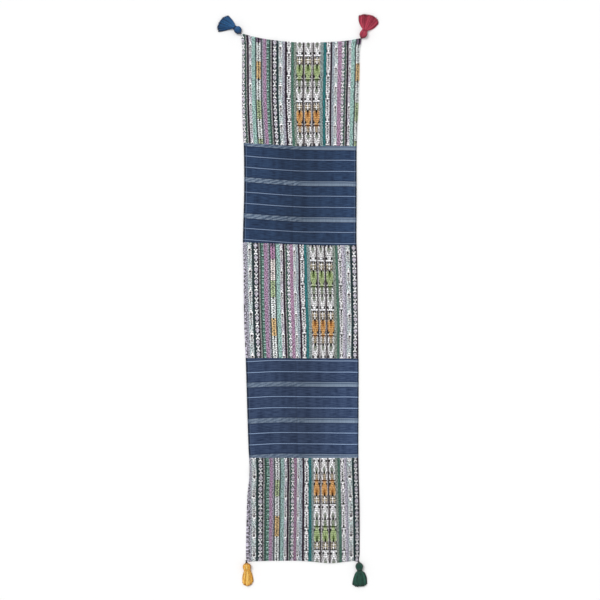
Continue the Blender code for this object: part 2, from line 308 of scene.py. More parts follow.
Stripe = namedtuple("Stripe", "width yarn chart rise")  # width in millimetres; rise of its floats likewise
warpRepeat = [
    Stripe(13.2, "steel", "column", 0.20), Stripe(3.0, "slate", None, 0), Stripe(3.4, "ash", None, 0),
    Stripe(9.3, "mauve", None, 0), Stripe(6.9, "fern", "sprig", 0.05), Stripe(4.3, "pine", None, 0),
    Stripe(3.8, "stone", None, 0), Stripe(4.2, "plum", None, 0), Stripe(9.4, "bottle", "bow", 0.15),
    Stripe(6.3, "bottle", None, 0),
    Stripe(10.4, "frost", "dash", 0.08), Stripe(7.8, "mist", None, 0), Stripe(5.2, "innerPlum", None, 0),
    Stripe(11.8, "pearl", "candle", 0.15), Stripe(7.8, "fern", None, 0), Stripe(7.8, "sage", None, 0),
    Stripe(18.0, "haze", "vase", 0.28), Stripe(3.2, "bark", None, 0), Stripe(24.4, "haze", "vase", 0.28),
    Stripe(3.4, "bark", None, 0), Stripe(19.5, "haze", "vase", 0.28), Stripe(7.5, "grey", None, 0),
    Stripe(9.0, "teal", None, 0), Stripe(11.8, "pearl", "candle", 0.15), Stripe(4.6, "plum", None, 0),
    Stripe(7.5, "greyBlue", None, 0), Stripe(9.2, "frost", "dash", 0.08), Stripe(11.6, "orchid", None, 0),
    Stripe(8.4, "pine", "bow", 0.15), Stripe(3.1, "pine", None, 0), Stripe(3.5, "stone", None, 0),
    Stripe(4.9, "plum", None, 0), Stripe(7.8, "lilac", "dash", 0.05), Stripe(10.1, "mint", None, 0),
    Stripe(3.2, "slate", None, 0),
]
repeatWidth = sum(stripe.width for stripe in warpRepeat) / 1000

yarnDyes = {
    "white": (244, 244, 247), "pearl": (204, 199, 211), "frost": (184, 200, 201), "ink": (6, 6, 9),
    "bottle": (34, 52, 55), "pine": (50, 82, 72), "plum": (36, 16, 35), "slate": (62, 72, 76),
    "mauve": (162, 130, 158), "orchid": (164, 130, 157), "lilac": (184, 178, 194), "fern": (74, 112, 98),
    "sage": (132, 141, 134), "stone": (138, 139, 140), "mint": (150, 184, 178), "greyBlue": (158, 167, 176),
    "bark": (60, 52, 55), "grey": (134, 148, 148), "teal": (44, 110, 114), "haze": (170, 167, 170),
    "chalk": (224, 222, 222), "smoke": (90, 86, 95), "beige": (204, 188, 156), "brown": (104, 92, 78),
    "foam": (176, 208, 202), "reed": (112, 152, 140), "ash": (150, 147, 160), "mist": (158, 157, 170),
    "olive": (132, 144, 126), "steel": (78, 90, 92), "dusk": (145, 114, 138), "ice": (146, 174, 172),
}
chartLetters = {  # "." leaves the stripe's own yarn showing
    "w": "white", "c": "chalk", "h": "haze", "s": "smoke", "k": "ink", "p": "pearl", "b": "beige",
    "n": "brown", "f": "foam", "m": "reed", "t": "steel", "v": "olive",
}
figureDyes = {  # the four shades of a figure's body, G, g, d and D in the chart, and o, its stem
    "green": ((178, 194, 146), (138, 160, 98), (94, 116, 60), (54, 66, 32), (134, 148, 122)),
    "orange": ((212, 164, 106), (200, 140, 72), (164, 102, 48), (88, 50, 26), (180, 162, 130)),
}
columnTints = {
    "white": (244, 250, 247), "cream": (248, 238, 232), "pink": (196, 150, 184), "violet": (140, 116, 144),
    "gold": (234, 200, 144), "leaf": (190, 208, 164),
}

# Charts of the figures as a weaver keeps them: a row for each few picks, of which only half is written, from
# the figure's middle out to its edge, because both halves are alike. Half widths are in millimetres.
chartHalf = {"vase": 9.2, "bow": 4.8, "dash": 5.2, "candle": 5.6, "column": 6.0, "sprig": 3.4}
charts = {
    "vase": """
        kkchkk kkcwhk kscwwh vvhcww vvvcww vhvcww hvhwwh vhwwch hcwwhc cwwchc wwchch wcwhch cwcwhc
        cwwhkk wwwkkk wwhkkk wwwwww wwwwww kkkksk wkkbhs wkkbhs wwbwbs bnobnb wnobns wwbwbs wbkkbk
        wskkbk kkbhss kkGGGh kdGGGc DdGGGG DdgGGG ddgGGG ddgGGG dgGgGG gGgGGg gGGGgG gGgGgh GgGGgd
        GgGGgk gGGGkk GgGkkk GGGckk GGGGcc dDDdsk DDDdkk odowws oodwwc okhcwh ohokww oohwwh ohokch
        oosccw
    """,
    "bow": """
        ..cw .cww wwwc www. ww.. w... w... ww.. www. wwww .cww ..cw
        p... pp.. ppp. pppp pppp pppp pppp ppp. pp.. pp.. p... p...
    """,
    "dash": """
        wwc. wwww kkcw kkcc hscc shc. hcc. hsch .hc. shc. .hch hhc. h.c. h.ch
        h.c. s.c. h... h.c. .h.. ..h. .... c.h. .... c... c.h. cc.. wc.. wc..
    """,
    "candle": """
        whskk wwhsk wwwwh wwwww kkkkk skcww kswww kkwww wwwks kswww kkwww wwwks kswww kkwww wwwks
        kswww kkwww wwwks hswww kswwc wwwks hwwwk swwwc kswww hcwwc wwwhk wwcch cwwhs wwchs cwhsk
    """,
    "column": """
        kcwwc scwwh hcwwc kswww hcwwc wwwwh khwww swwwc wchws kcwhc scwww
        kkwwc hcwws wchwc kswww shwwh wwckc kwwws hcwws kkwwc shwww whsws
    """,
    "sprig": """
        kkk tmt fmf t.t .m. m.f tft mf. .mf tm. .tt .mt m.m fff
        tkk .m. t.t mm. tfm fmm tt. .m. tf. mf. .mt t.. fmm fff
    """,
}

# The striped panels, each with
#   warp: share across, and the place in the warp repeat that lies there
#   droop: how far the weft hangs below its middle, at five places across: at the panel's top, at its bottom
#   charts: each one's first row below the upper line, and its repeat
#   columnTints: where the column's yarn changes, and to what
#   lean: share down, and how far the warp stands aside there, at five places across
#   chartTones and tone: how light the figures are, and all of the panel
#   yarns: which of its stripes have another yarn here
#   turned: whether its figures run upwards; ragged: whether dark turns of the weft show at its left edge
stripedPanels = {
    "panel_top": {
        "warp": [(0.0, 0.2425), (1.0, 0.5815)],
        "droop": [(0.0095, 0.0049, 0.0, 0.0011, 0.0003), (0.0095, 0.0049, 0.0, 0.0011, 0.0003)],
        "turned": False,
        "charts": {"vase": (-0.0055, 0.1321), "bow": (0.0134, 0.0338), "dash": (0.0119, 0.0562),
                   "candle": (0.0241, 0.0660), "column": (0.0070, 0.0407), "sprig": (0.0520, 0.0616)},
        "columnTints": [(0.000, "violet"), (0.007, "white"), (0.062, "gold"), (0.112, "white"),
                        (0.174, "leaf"), (0.228, "white"), (0.285, "leaf")],
        "lean": [(0.14, (0.0028, 0.0019, 0.0007, -0.0004, 0.0004)),
                 (0.54, (0.0014, 0.0006, 0.0003, 0.0002, 0.0006)),
                 (0.95, (0.0016, -0.0043, -0.0036, -0.0031, -0.0019))],
        "chartTones": {"vase": 0.90, "column": 0.95, "candle": 0.92, "bow": 0.90},
        "yarns": {"innerPlum": "plum"},
        "ragged": False,
        "tone": 0.90,
    },
    "panel_middle": {
        "warp": [(0.0, 0.3711), (0.125, 0.3332), (0.181, 0.3136), (0.228, 0.3008), (0.372, 0.2552),
                 (0.407, 0.2436), (0.458, 0.2228), (0.654, 0.1592), (0.716, 0.1353), (0.813, 0.1061),
                 (0.903, 0.0734), (1.0, 0.0431)],
        "droop": [(0.0072, 0.0038, 0.0, -0.0023, -0.0012), (0.0003, 0.0009, 0.0, 0.0, -0.0012)],
        "turned": False,
        "charts": {"vase": (-0.0018, 0.1425), "bow": (0.0169, 0.0344), "dash": (0.0131, 0.0608),
                   "candle": (0.0335, 0.0712), "column": (0.0485, 0.0407), "sprig": (0.0363, 0.0616)},
        "columnTints": [(0.000, "violet"), (0.010, "pink"), (0.045, "cream"), (0.106, "leaf"),
                        (0.154, "white"), (0.215, "gold"), (0.265, "white")],
        "lean": [(0.10, (-0.0005, -0.0008, -0.0018, 0.0006, -0.0016)),
                 (0.35, (-0.0008, -0.0003, -0.0019, -0.0010, -0.0024)),
                 (0.70, (-0.0024, -0.0015, -0.0052, -0.0030, -0.0034)),
                 (0.96, (-0.0021, -0.0022, -0.0040, -0.0006, 0.0002))],
        "chartTones": {"vase": 0.86, "column": 1.10, "candle": 0.84, "bow": 0.93},
        "yarns": {"innerPlum": "lilac"},
        "ragged": True,
        "tone": 0.90,
    },
    "panel_bottom": {
        "warp": [(0.0, 0.3696), (0.134, 0.3332), (0.143, 0.3286), (0.201, 0.3136), (0.334, 0.2714),
                 (0.419, 0.2436), (0.463, 0.2228), (0.495, 0.2153), (0.575, 0.1899), (0.590, 0.1824),
                 (0.733, 0.1315), (0.872, 0.0864), (0.899, 0.0734), (0.941, 0.0630), (1.0, 0.0434)],
        "droop": [(0.0005, 0.0005, 0.0, 0.0, 0.0011), (0.0, 0.0, 0.0, -0.0010, 0.0010)],
        "turned": True,
        "charts": {"vase": (-0.0132, 0.1329), "bow": (0.0124, 0.0341), "dash": (0.0100, 0.0566),
                   "candle": (0.0212, 0.0665), "column": (0.0100, 0.0407), "sprig": (0.0581, 0.0616)},
        "columnTints": [(0.000, "white"), (0.064, "leaf"), (0.112, "white"), (0.168, "gold"),
                        (0.228, "white")],
        "lean": [(0.10, (0.0044, 0.0043, 0.0008, 0.0009, -0.0004)),
                 (0.52, (-0.0040, -0.0003, -0.0014, -0.0028, -0.0014)),
                 (0.92, (-0.0066, -0.0003, -0.0012, -0.0050, -0.0020))],
        "chartTones": {"vase": 1.0, "column": 0.95, "candle": 0.95, "bow": 0.82},
        "yarns": {"innerPlum": "lilac", "orchid": "dusk", "mint": "ice"},
        "ragged": True,
        "tone": 0.78,
    },
}

weave = {
    "warpPitch": 0.00080,     # one warp yarn
    "pickPitch": 0.00120,     # one weft pick
    "bumpStrength": 0.7,
    "bumpDepth": 0.00022,
    "ribBump": (0.45, 0.55),  # of a warp yarn between two picks, and more over a pick
    "lumpBump": 0.5,
    "figureBump": 0.6,
    "lumps": (900, 500),      # patches to the metre, each way, as the pairs below
    "roughness": 0.86,
    "lumpRoughness": 0.12,
    "ribRoughness": 0.06,
    "streak": 0.40,           # how far single warp yarns differ in shade
    "streaks": (1300, 9),
    "fleck": 0.50,            # how far short runs of a pick differ
    "flecks": (330, 620),
    "speckle": 1.38,          # how far small patches of a few yarns differ
    "speckles": (310, 390),
    "speckleContrast": 4.5,
    "calm": 0.30,             # and how much less they do on the figures
    "ridge": 0.33,            # painted shade and highlight: how far the figures' doubled picks shade each other
    "ridgePitch": 0.0060,
    "ridgeWander": 3.0,
    "broadPatch": 0.16,
    "broadPatches": (14, 9),
    "turnReach": 0.0048,      # of the dark weft turns along a ragged edge
    "turnShade": 0.80,
    "turns": (160, 150),
    "turnsAbove": 0.05,       # which noise makes a turn
    "dotWidth": 0.34,         # of the dark dot where a column's yarn changes, as a share of the column
    "dotReach": 0.0018,       # and how far it reaches up and down
}


def warpPlace(settings, across, down, width):  # the warp leans a little aside of the cloth's own edges
    leans = [(row, lineHeight(lean, across)) for row, lean in settings["lean"]]
    return straightLine(settings["warp"], across + straightLine(leans, down) / width)


def stripesBetween(low, high):  # every stripe of the repeated warp in this range, with where it starts
    found = []
    start = math.floor(low / repeatWidth) * repeatWidth
    while start < high:
        for stripe in warpRepeat:
            if start + stripe.width / 1000 > low and start < high:
                found.append((start, stripe))
            start += stripe.width / 1000
    return found


def stripeRise(place):
    place %= repeatWidth
    for stripe in warpRepeat:
        if place <= stripe.width / 1000:
            return stripe.rise / 1000 * (1.0 - (2.0 * place / (stripe.width / 1000) - 1.0) ** 4)
        place -= stripe.width / 1000
    return 0.0


def letterColours(figure):  # what each letter of a chart stands for, as colours with alpha
    colours = {letter: dye(*yarnDyes[yarn]) for letter, yarn in chartLetters.items()}
    colours["."] = [0.0, 0.0, 0.0, 0.0]
    for letter, shade in zip("GgdDo", figureDyes[figure]):
        colours[letter] = dye(*shade)
    return colours


def chartStops(chart, figures):  # column by column, each from 0 to 1 down all figures
    rows = charts[chart].split()
    stops = []
    for column in range(len(rows[0])):
        for number, figure in enumerate(figures):
            colours = letterColours(figure)
            for k, row in enumerate(rows):
                place = column + (number + k / len(rows)) / len(figures)
                if not stops or stops[-1][1] != colours[row[column]]:
                    stops.append((place, colours[row[column]]))
    return stops, len(rows[0])


def weavePlace(nodes):  # across the warp and down the weft, in metres
    place = nodes.add("ShaderNodeSeparateXYZ", {}, {0: nodes.add("ShaderNodeUVMap", {"uv_map": "weave"})})
    return place, place.output(1)


def plainStripes(nodes, inRepeat, changedYarns):
    stops, start = [], 0.0
    for stripe in warpRepeat:
        yarn = changedYarns.get(stripe.yarn, stripe.yarn)
        stops.append((start, dye(*yarnDyes[yarn])))
        start += stripe.width / 1000
    return longRamp(nodes, inRepeat, stops, repeatWidth)[0]


def besideFigure(chart, inRepeat):  # 0 in the middle of a chart's own stripes, 1 where its figures end
    aside, place = None, 0.0
    for stripe in warpRepeat:
        if stripe.chart == chart:
            half = min(chartHalf[chart], stripe.width / 2) / 1000
            here = abs(inRepeat - (place + stripe.width / 2000)) / half
            aside = here if aside is None else aside.least(here)
        place += stripe.width / 1000
    return aside


def changeYarn(nodes, figure, aside, stepped, changes, length):  # a dark dot stands at each change
    tints = []
    for at, tint in changes:
        cast = dye(*columnTints[tint])[:3]
        tints += [(max(0.0, at - weave["dotReach"]), cast + [0.0]), (at + weave["dotReach"], cast + [1.0])]
    tint, plain = longRamp(nodes, stepped, tints, length)
    figure = nodes.add("ShaderNodeVectorMath", {"operation": "MULTIPLY"}, {0: figure, 1: tint})
    return blend(nodes, (aside < weave["dotWidth"]) * (1.0 - plain), figure, dye(*yarnDyes["ink"]))


def wovenFigure(nodes, chart, inRepeat, stepped, settings, length):  # its colours, and where they show
    start, period = settings["charts"][chart]
    figures = ("green", "orange") if chart == "vase" else ("green",)
    letters, columns = chartStops(chart, figures)
    aside = besideFigure(chart, inRepeat)
    run = (length - start - stepped) if settings["turned"] else (stepped - start)
    run = run / (period * len(figures)) % 1.0
    figure, shown = longRamp(nodes, (aside * columns).floor() + run, letters, columns)
    if chart == "column":
        figure = changeYarn(nodes, figure, aside, stepped, settings["columnTints"], length)
    figure = scaled(nodes, figure, settings["chartTones"].get(chart, 1.0))
    return figure, (aside < 1.0) * shown


def unevenYarnsAndRidgeShade(nodes, warp, weft, raised, settings):  # in streaks, flecks and patches, with painted shade and highlight across the figures' doubled picks
    streak = patches(nodes, warp, weft, weave["streaks"])
    fleck = patches(nodes, warp, weft, weave["flecks"])
    speckle = patches(nodes, warp, weft, weave["speckles"]) * weave["speckleContrast"]
    speckle = ((speckle + 0.5).held() - 0.5) * (1.0 - raised * weave["calm"])
    broadPatch = patches(nodes, warp, weft, weave["broadPatches"], 2.0)
    # painted shade and highlight: rows across the figures where their doubled picks shade each other
    ridge = (weft * (2 * math.pi / weave["ridgePitch"]) + speckle * weave["ridgeWander"]).sine()
    ridge = ridge * raised * weave["ridge"]
    shade = 1.0 + speckle * weave["speckle"] + streak * weave["streak"] + ridge
    shade = (shade + fleck * weave["fleck"] + broadPatch * weave["broadPatch"]) * settings["tone"]
    if settings["ragged"]:  # dark weft turns that show here and there along the left edge
        turns = patches(nodes, warp, weft, weave["turns"]) > weave["turnsAbove"]
        atEdge = abs(warp - settings["warp"][0][1]) < weave["turnReach"]
        shade = shade * (1.0 - turns * atEdge * weave["turnShade"])
    return shade


def stripedMaterial(name, settings, length):
    material, nodes, shader = startMaterial(name, 0.08, (1.0, 1.0, 1.0, 1.0))
    warp, weft = weavePlace(nodes)
    inRepeat = warp % repeatWidth
    stepped = (weft / weave["pickPitch"]).floor() * weave["pickPitch"]  # the figures change by whole picks
    colour = plainStripes(nodes, inRepeat, settings["yarns"])
    raised = 0.0
    for chart in settings["charts"]:
        figure, shown = wovenFigure(nodes, chart, inRepeat, stepped, settings, length)
        colour = blend(nodes, shown, colour, figure)
        raised = shown + raised
    shade = unevenYarnsAndRidgeShade(nodes, warp, weft, raised, settings)
    finishWeave(nodes, shader, scaled(nodes, colour, shade), warp, weft, raised)
    return material


def finishWeave(nodes, shader, colour, warp, weft, raised=0.0):  # a bump where yarns cross
    column = warp / weave["warpPitch"]
    rib = ((column % 1.0) * math.pi).sine()
    pick = weft / weave["pickPitch"] + (column.floor() % 2.0) * 0.5
    over = ((pick % 1.0) * math.pi).sine()
    lumps = patches(nodes, warp, weft, weave["lumps"])
    between, more = weave["ribBump"]
    height = rib * (between + over * more) + lumps * weave["lumpBump"] + raised * weave["figureBump"]
    roughness = weave["roughness"] + lumps * weave["lumpRoughness"] + rib * weave["ribRoughness"]
    finishMaterial(nodes, shader, colour, roughness, height, weave["bumpStrength"], weave["bumpDepth"])


# Indigo cloth: pale weft lines and streaked bands, repeated down each panel

Border = namedtuple("Border", "dye inward half share")  # inward is negative from the right
indigo = {
    "repeat": 0.1041,
    "wander": 0.0012,
    "wanders": (18, 6),             # patches to the metre, each way, as all of these pairs
    "slubs": (42, 460),
    "threads": (1100, 30),
    "cords": (60, 7),
    "broadPatches": (16, 12),
    "depths": (0.36, 2.0, 0.5, 0.9),    # of its dye: evenly, by slubs, by threads and by cords
    "shades": (0.85, 0.30, 0.16),       # evenly, by broad lighter and darker patches, and by threads
    "bandHalf": 0.0068,
    "bandRim": 0.0014,              # half width of the deeper picks along both sides of a band
    "lines": [0.0359, 0.0682],      # below the middle of each band
    "lineHalf": 0.00125,
    "lineRim": 0.0038,              # half width of the deeper picks round a line
    "deep": (14, 28, 53),
    "line": (112, 130, 158),
    "bandPale": (113, 127, 145),
    "bandDeep": (62, 78, 100),
    "rowPale": (104, 118, 137),
    "rowBright": (110, 125, 143),
    "edge": (16, 27, 42),
    "strokePitch": 0.0250,          # of the slanting strokes on the left half of a band
    "strokeSlant": 2.7,
    "strokeWaves": (60, 130, 40),   # patches to the metre across, up a band, and from band to band
    "strokeWander": 1.1,
    "strokeGrain": (260, 120),
    "middle": 0.1650,               # where the strokes give way to level rows
    "borders": [Border("edge", 0.0015, 0.0040, 0.90), Border("line", 0.0070, 0.0010, 1.0),
                Border("edge", -0.0010, 0.0032, 0.85), Border("line", -0.0056, 0.0010, 0.6)],
    "crossing": 0.45,               # how much of a pale pick shows over a border
    "creaseAt": 0.160,
    "creaseRate": 7.5,              # how fast the painted shade gets paler beside the crease, by the metre
    "creaseShade": 0.52,
    "rightwardFrom": 0.1,
    "creaseShadeLines": [(0.1420, -0.10), (0.1470, 0.10)],  # a painted shade line and a painted highlight line beside it
    "creaseLineHalf": 0.0022,
}
# firstBand is its middle below the upper line; strokes is how dark the strokes on the bands are,
# rightwardShading how much paler it is painted to the right, as painted light where the fold tilts, and
# paleYarn how pale the yarns inside its borders
indigoPanels = {
    "panel_indigo_upper": {
        "droop": [(0.0113, 0.0050, 0.0, -0.0010, -0.0018), (0.0113, 0.0050, 0.0, -0.0010, -0.0018)],
        "firstBand": 0.0032, "ground": (39, 60, 90), "tone": 1.0, "bandTone": 1.0,
        "strokes": 0.85, "rightwardShading": 0.0, "paleYarn": 0.30,
    },
    "panel_indigo_lower": {
        "droop": [(-0.0030, 0.0005, 0.0, -0.0006, -0.0012), (-0.0030, 0.0005, 0.0, -0.0006, -0.0012)],
        "firstBand": 0.0749, "ground": (46, 60, 86), "tone": 1.22, "bandTone": 0.80,
        "strokes": 0.45, "rightwardShading": 0.7, "paleYarn": 0.08,
    },
}


def ikatBand(nodes, across, run, down, settings):  # strokes at its left, level rows at its right
    pale, deep = dye(*indigo["bandPale"]), dye(*indigo["bandDeep"])
    rowPale, rowBright = dye(*indigo["rowPale"]), dye(*indigo["rowBright"])
    slant = across + run * indigo["strokeSlant"]
    sideways, upBand, perBand = indigo["strokeWaves"]
    wave = patches(nodes, across, run * upBand + down * perBand, (sideways, 1), 2.0)
    fine = patches(nodes, slant, run, indigo["strokeGrain"])
    phase = slant / indigo["strokePitch"] + wave * indigo["strokeWander"]
    strokes = 0.5 + ((phase * (2 * math.pi)).sine() * 0.65 + fine * 1.5) * settings["strokes"]
    rows = rampOf(nodes, run / (2 * indigo["bandHalf"]) + 0.5, [
        (0.0, rowPale), (0.22, deep), (0.40, rowPale), (0.62, rowBright), (0.80, rowPale)])
    rightHalf = ((across - indigo["middle"]) * 40 + 0.5).held()
    return blend(nodes, rightHalf, blend(nodes, strokes.held(), deep, pale), rows)


def indigoMaterial(name, settings, width):
    material, nodes, shader = startMaterial(name, 0.12, (0.75, 0.85, 1.0, 1.0))
    across, down = weavePlace(nodes)
    wander = patches(nodes, across, down, indigo["wanders"]) * indigo["wander"]
    repeat = indigo["repeat"]
    run = (down - settings["firstBand"] + wander + repeat / 2) % repeat - repeat / 2

    # unevenly dyed yarns both ways
    deep = dye(*indigo["deep"])
    slub = patches(nodes, across, down, indigo["slubs"], 2.0)
    thread = patches(nodes, across, down, indigo["threads"])
    cord = patches(nodes, across, down, indigo["cords"], 2.0)
    broadPatch = patches(nodes, across, down, indigo["broadPatches"], 2.0)
    even, bySlubs, byThreads, byCords = indigo["depths"]
    depth = (even + slub * bySlubs + thread * byThreads + cord * byCords).held()
    colour = blend(nodes, depth, dye(*settings["ground"]), deep)

    # the thin lines and the bands, each between deeper picks
    inBand = abs(run) < indigo["bandHalf"]
    pale = inBand
    for middle in indigo["lines"]:
        apart = abs(run % repeat - middle)
        colour = blend(nodes, (apart < indigo["lineRim"]) * 0.6, colour, deep)
        here = (apart < indigo["lineHalf"]) * (0.86 + thread * 0.5)
        colour = blend(nodes, here, colour, dye(*indigo["line"]))
        pale = pale + here
    band = ikatBand(nodes, across, run, down, settings)
    band = scaled(nodes, band, (1.0 + thread * 0.6 + slub * 0.3) * settings["bandTone"])
    colour = blend(nodes, inBand * 0.95, colour, band)
    rim = abs(abs(run) - indigo["bandHalf"] - indigo["bandRim"]) < indigo["bandRim"]
    colour = blend(nodes, rim * 0.7, colour, deep)

    # dark borders down both sides, crossed by the pale picks, with a pale yarn inside each
    for border in indigo["borders"]:
        place = border.inward if border.inward > 0 else width + border.inward
        share = border.share * (settings["paleYarn"] if border.dye == "line" else 1.0)
        near = (abs(across - place) < border.half) * (1.0 - pale * indigo["crossing"])
        colour = blend(nodes, near * share, colour, dye(*indigo[border.dye]))

    # painted shade of the lengthwise fold: darker down the middle crease, paler towards the sides, and on the
    # lower panel painted light growing to the right
    paintedFoldShade = (abs(across - indigo["creaseAt"]) * indigo["creaseRate"]).held() * indigo["creaseShade"]
    paintedFoldShade = paintedFoldShade + (across - indigo["rightwardFrom"]) * settings["rightwardShading"]
    # painted shade and highlight: a darker and a paler line beside the crease
    lines = 1.0
    for place, change in indigo["creaseShadeLines"]:
        lines = (abs(across - place) < indigo["creaseLineHalf"]) * change + lines
    even, byBroadPatches, byThreads = indigo["shades"]
    shade = (even + paintedFoldShade + broadPatch * byBroadPatches + thread * byThreads) * lines * settings["tone"]
    finishWeave(nodes, shader, scaled(nodes, colour, shade), across, down)
    return material


# A panel's own mesh: a fine closed sheet that rolls into its seams and over its hems

Panel = namedtuple("Panel", "name above below slot")
panels = [
    Panel("panel_top", "topEdge", "seam1", "striped_cloth"),
    Panel("panel_indigo_upper", "seam1", "seam2", "indigo_cloth"),
    Panel("panel_middle", "seam2", "seam3", "striped_cloth"),
    Panel("panel_indigo_lower", "seam3", "seam4", "indigo_cloth"),
    Panel("panel_bottom", "seam4", "bottomEdge", "striped_cloth"),
]


def isHem(line):  # the runner's own ends are hemmed, and the other lines are seams
    return line in ("topEdge", "bottomEdge")


panelSizes = {}
for panel in panels:  # width and length of each
    edges = [sideEdges(runner[line].middle) for line in (panel.above, panel.below)]
    panelSizes[panel.name] = (sum(right - left for left, right in edges) / 2,
                              runner[panel.above].middle - runner[panel.below].middle)


def rounding(distance, radius, least):  # how full the cloth is near an edge, 1 where it is plain
    if distance >= radius:
        return 1.0
    return mix(least, 1.0, math.sqrt(1.0 - (1.0 - distance / radius) ** 2))


def hemShare(distance):  # 1 in a hem, 0 beyond it
    past = (distance - runner["hemWidth"]) / runner["hemStep"]
    return min(1.0, max(0.0, 1.0 - past))


def evenSteps(length, firstIsHem, lastIsHem):  # fine steps near both ends, even cells between
    hem = [runner["hemWidth"] + step for step in runner["hemSteps"]]
    first, last = (runner["edgeSteps"] + (hem if ending else [runner["seamStep"]])
                   for ending in (firstIsHem, lastIsHem))
    low, high = first[-1], length - last[-1]
    count = max(1, round((high - low) / runner["cell"]))
    inner = [mix(low, high, k / count) for k in range(1, count)]
    return first + inner + [length - step for step in reversed(last)]


def panelColumns(width, settings):  # shares across, with every stripe's edges among them
    steps = evenSteps(width, True, True)
    if settings is None:
        return [step / width for step in steps]
    low, high = sorted((settings["warp"][0][1], settings["warp"][-1][1]))
    back = sorted((warp, across) for across, warp in settings["warp"])
    rims = len(runner["edgeSteps"]) + len(runner["hemSteps"])
    fixed = steps[:rims] + steps[-rims:]
    for start, stripe in stripesBetween(low, high):
        cells = max(2, round(stripe.width / 1000 / runner["cell"]))
        for k in range(cells):
            place = start + stripe.width / 1000 * k / cells
            step = straightLine(back, place) * width if low < place < high else -1.0
            if steps[rims - 1] < step < steps[-rims] and min(abs(step - f) for f in fixed) > 0.0007:
                fixed.append(step)
    return [step / width for step in sorted(fixed)]


def surfacePoint(panel, across, down):  # place in plan, and the heights of the cloth's two faces
    width, length = panelSizes[panel.name]
    x, y = clothPoint(runner[panel.above], runner[panel.below], across, down)
    side = min(across, 1.0 - across) * width
    end = (down if down < 0.5 else 1.0 - down) * length
    endIsHem = isHem(panel.above if down < 0.5 else panel.below)
    hem = max(hemShare(side), hemShare(end) if endIsHem else 0.0)
    thickness = mix(runner["clothThickness"], runner["hemThickness"], hem)
    full = rounding(side, runner["foldRadius"], runner["foldLeast"])
    if endIsHem:
        full = min(full, rounding(end, runner["foldRadius"], runner["foldLeast"]))
    else:
        full = min(full, rounding(end, runner["seamRadius"], runner["seamDepth"]))
    lift = clothLift(x, y)
    sideways, lengthways = runner["waves"]
    wave = 0.5 + 0.5 * noise.noise(Vector((x * sideways, y * lengthways, 2.0)))
    lift += runner["waviness"] * wave * min(1.0, side / runner["flatRim"])
    near = math.exp(-min(side, end) / runner["puckerReach"])
    ripple = abs(noise.noise(Vector((x * runner["puckers"], y * runner["puckers"], 5.0))))
    ripple *= runner["pucker"] * near
    low = lift + thickness * 0.5 * (1.0 - full)
    high = lift + thickness * 0.5 * (1.0 + full) + ripple
    if panel.name in stripedPanels:
        rise = stripeRise(warpPlace(stripedPanels[panel.name], across, down, width))
        high += rise * min(1.0, end / runner["riseFade"])
    return x, y, low, high


def flatMap(mesh, outline):  # a plan view for the baked pictures, to the outline's scale
    lows = [min(v.co[k] for v in outline.vertices) for k in (0, 1)]
    span = max(max(v.co[k] for v in outline.vertices) - lows[k] for k in (0, 1)) * 1.01
    corners = [mesh.vertices[loop.vertex_index].co for loop in mesh.loops]
    bakeMap = mesh.uv_layers.new(name="OFBake")
    bakeMap.data.foreach_set("uv", [(co[k] - lows[k]) / span + 0.004 for co in corners for k in (0, 1)])


# Geometry nodes: how a tree starts and ends, what runs it on paths, and the stitches of hems and seams

def startTree(name, inputs):  # a geometry tree with named inputs, and a wire from each
    tree = bpy.data.node_groups.new(name, "GeometryNodeTree")
    for title, kind in inputs.items():
        tree.interface.new_socket(title, in_out="INPUT", socket_type="NodeSocket" + kind)
    tree.interface.new_socket("Made", in_out="OUTPUT", socket_type="NodeSocketGeometry")
    nodes = Nodes(tree)
    given = nodes.add("NodeGroupInput")
    return nodes, [given.output(k) for k in range(len(inputs))]


def finishTree(nodes, made, material):
    made = nodes.add("GeometryNodeRealizeInstances", {}, {"Geometry": made})
    made = nodes.add("GeometryNodeSetShadeSmooth", {}, {"Geometry": made})
    made = nodes.add("GeometryNodeSetMaterial", {}, {"Geometry": made, "Material": material})
    nodes.add("NodeGroupOutput", {}, {"Made": made})
    return nodes.tree


def grow(name, paths, tree, inputs):  # runs a tree on some paths, and returns the plain mesh that comes out
    guide = bpy.data.objects.new(name + "_guide", paths)
    bpy.context.scene.collection.objects.link(guide)
    modifier = guide.modifiers.new("grow", "NODES")
    modifier.node_group = tree
    sockets = {item.name: item.identifier for item in tree.interface.items_tree if item.in_out == "INPUT"}
    for title, value in inputs.items():
        modifier[sockets[title]] = value
    bpy.context.view_layer.update()
    graph = bpy.context.evaluated_depsgraph_get()
    seen = guide.evaluated_get(graph)
    mesh = bpy.data.meshes.new_from_object(seen, preserve_all_data_layers=True, depsgraph=graph)
    bpy.data.objects.remove(guide, do_unlink=True)
    mesh.name = name
    return mesh


def pathMesh(name, paths):  # loose edges along each path, with what the nodes read on its points
    points, edges, marks = [], [], {}
    for path, values in paths:
        first = len(points)
        points += path
        edges += [(first + k, first + k + 1) for k in range(len(path) - 1)]
        for title, row in values.items():
            marks.setdefault(title, []).extend(row)
    mesh = bpy.data.meshes.new(name)
    mesh.from_pydata(points, edges, [])
    for title, row in marks.items():
        mesh.attributes.new(title, "FLOAT", "POINT").data.foreach_set("value", row)
    return mesh


stitching = {
    "pitch": 0.0041,          # from one stitch to the next
    "threadLength": 0.0027,   # that shows of each
    "threadRadius": 0.00040,
    "uneven": 0.20,
    "askew": 0.10,
    "fromEdge": 0.0079,       # of the row that holds a hem
    "fromSeam": 0.0036,       # of the rows on both sides of a seam
    "seed": 7,
    "threads": {"striped_cloth": ((176, 172, 180), (92, 90, 100)),
                "indigo_cloth": ((74, 94, 126), (22, 34, 58))},
}


